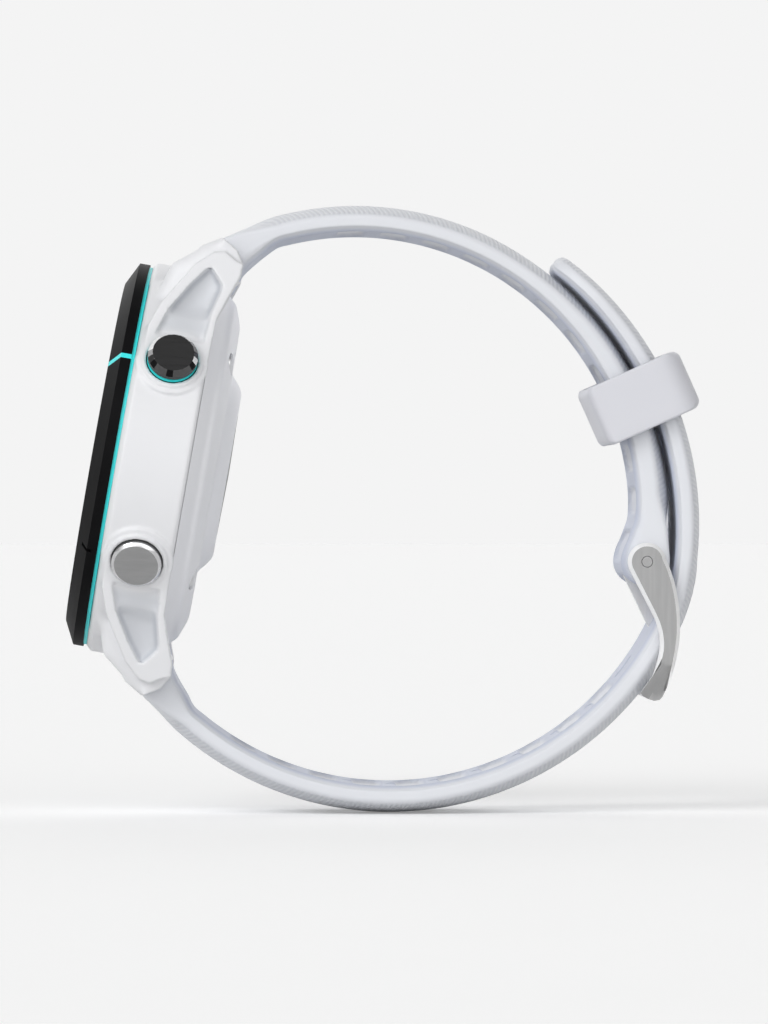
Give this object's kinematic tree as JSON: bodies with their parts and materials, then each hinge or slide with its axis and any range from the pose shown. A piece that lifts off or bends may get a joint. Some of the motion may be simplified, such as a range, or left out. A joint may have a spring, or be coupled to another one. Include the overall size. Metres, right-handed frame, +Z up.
{
  "type": "gps running watch",
  "caption": "Round sports watch with side push buttons, optical sensor back, quick-release bars and a buckled silicone band with keeper and pin buckle.",
  "frame": {"origin": "centre of the bounding box at its bottom, where the buckled band stands on a surface", "axes": "+X from the display to the buckle across the band loop, +Y along the spring bars away from the START and BACK buttons, +Z up, close to 12 o'clock"},
  "size_m": [0.068, 0.0431, 0.0653],
  "materials": {
    "housing_white": "fine satin fibre-reinforced polymer",
    "cover_white": "fine satin polymer",
    "bezel_black": "satin black polymer",
    "trim_aqua": "glossy coloured polymer",
    "lens_glass": "clear strengthened glass",
    "display_dark": "dark reflective display",
    "frame_grey": "moulded",
    "antenna_copper": "plated",
    "board_green": "solder mask",
    "switch_steel": "stainless",
    "battery_foil": "foil pouch",
    "buzzer_brass": "satin",
    "sensor_dark": "dark gloss window",
    "seal_black": "moulded seal",
    "carrier_black": "moulded",
    "contact_gold": "gold plated",
    "start_gunmetal": "dark coated metal",
    "button_steel": "brushed face, polished bevel",
    "spring_steel": "spring wire",
    "bar_steel": "stainless",
    "silicone_white": "soft matte silicone",
    "buckle_steel": "brushed faces, polished bevels"
  },
  "bodies": {
    "case": {"front_housing": "housing_white", "bezel": "bezel_black", "trim_ring": "trim_aqua", "lens": "lens_glass", "lens_adhesive": "seal_black", "display_panel": "display_dark", "inner_frame": "frame_grey", "antenna_ring": "antenna_copper", "main_board": "board_green", "button_switches": "switch_steel", "battery": "battery_foil", "vibration_motor": "switch_steel", "buzzer": "buzzer_brass", "sensor_board": "board_green", "sensor_window": "sensor_dark", "back_gasket": "seal_black", "back_cover": "cover_white", "back_screws": "switch_steel", "contact_carrier": "carrier_black", "charging_contacts": "contact_gold", "start_spring": "spring_steel", "back_spring": "spring_steel", "light_spring": "spring_steel", "up_spring": "spring_steel", "down_spring": "spring_steel"},
    "start_button": {"start_button": "start_gunmetal", "start_oring": "seal_black", "start_clip": "spring_steel", "start_ring": "trim_aqua"},
    "back_button": {"back_button": "button_steel", "back_oring": "seal_black", "back_clip": "spring_steel"},
    "light_button": {"light_button": "button_steel", "light_oring": "seal_black", "light_clip": "spring_steel"},
    "up_button": {"up_button": "button_steel", "up_oring": "seal_black", "up_clip": "spring_steel"},
    "down_button": {"down_button": "button_steel", "down_oring": "seal_black", "down_clip": "spring_steel"},
    "upper_strap": {"upper_strap": "silicone_white", "upper_bar": "bar_steel", "upper_bar_spring": "spring_steel"},
    "upper_release": {"upper_release": "bar_steel"},
    "lower_strap": {"lower_strap": "silicone_white", "lower_bar": "bar_steel", "lower_bar_spring": "spring_steel"},
    "lower_release": {"lower_release": "bar_steel"},
    "keeper": {"keeper": "silicone_white"},
    "buckle": {"buckle_frame": "buckle_steel", "buckle_pin": "buckle_steel"},
    "tongue": {"buckle_tongue": "buckle_steel"}
  },
  "joints": [
    {"name": "start_press", "type": "slide", "parent": "case", "child": "start_button", "axis": [-0.0868, 0.866, -0.4924], "range_m": [0, 0.0005], "stiffness_N_per_m": 1500, "springref_m": -0.0005, "deforming": ["start_spring"]},
    {"name": "back_press", "type": "slide", "parent": "case", "child": "back_button", "axis": [0.0868, 0.866, 0.4924], "range_m": [0, 0.0005], "stiffness_N_per_m": 1500, "springref_m": -0.0005, "deforming": ["back_spring"]},
    {"name": "light_press", "type": "slide", "parent": "case", "child": "light_button", "axis": [-0.0868, -0.866, -0.4924], "range_m": [0, 0.0005], "stiffness_N_per_m": 1500, "springref_m": -0.0005, "deforming": ["light_spring"]},
    {"name": "up_press", "type": "slide", "parent": "case", "child": "up_button", "axis": [0, -1, 0], "range_m": [0, 0.0005], "stiffness_N_per_m": 1500, "springref_m": -0.0005, "deforming": ["up_spring"]},
    {"name": "down_press", "type": "slide", "parent": "case", "child": "down_button", "axis": [0.0868, -0.866, 0.4924], "range_m": [0, 0.0005], "stiffness_N_per_m": 1500, "springref_m": -0.0005, "deforming": ["down_spring"]},
    {"name": "upper_strap_swivel", "type": "hinge", "parent": "case", "child": "upper_strap", "pos_m": [-0.01747, 0, 0.05832], "axis": [0, -1, 0], "range_deg": [-0.4, 0.4]},
    {"name": "lower_strap_swivel", "type": "hinge", "parent": "case", "child": "lower_strap", "pos_m": [-0.02497, 0, 0.01578], "axis": [0, -1, 0], "range_deg": [-0.4, 0.4]},
    {"name": "upper_quick_release", "type": "slide", "parent": "upper_strap", "child": "upper_release", "axis": [0, 1, 0], "range_m": [0, 0.0012], "stiffness_N_per_m": 600, "springref_m": -0.001, "deforming": ["upper_bar_spring"]},
    {"name": "lower_quick_release", "type": "slide", "parent": "lower_strap", "child": "lower_release", "axis": [0, 1, 0], "range_m": [0, 0.0012], "stiffness_N_per_m": 600, "springref_m": -0.001, "deforming": ["lower_bar_spring"]},
    {"name": "keeper_slide", "type": "hinge", "parent": "upper_strap", "child": "keeper", "pos_m": [-0.00174, 0, 0.03104], "axis": [0, -1, 0], "range_deg": [-14, 15]},
    {"name": "buckle_swivel", "type": "hinge", "parent": "upper_strap", "child": "buckle", "pos_m": [0.0279, 0, 0.027], "axis": [0, -1, 0], "range_deg": [-1, 2]},
    {"name": "tongue_swivel", "type": "hinge", "parent": "upper_strap", "child": "tongue", "pos_m": [0.0279, 0, 0.027], "axis": [0, -1, 0], "range_deg": [-1, 2]}
  ],
  "couplings": [
    {"joint": "lower_strap_swivel", "follows": "upper_strap_swivel", "ratio": 0.84},
    {"joint": "tongue_swivel", "follows": "buckle_swivel", "ratio": 1}
  ]
}
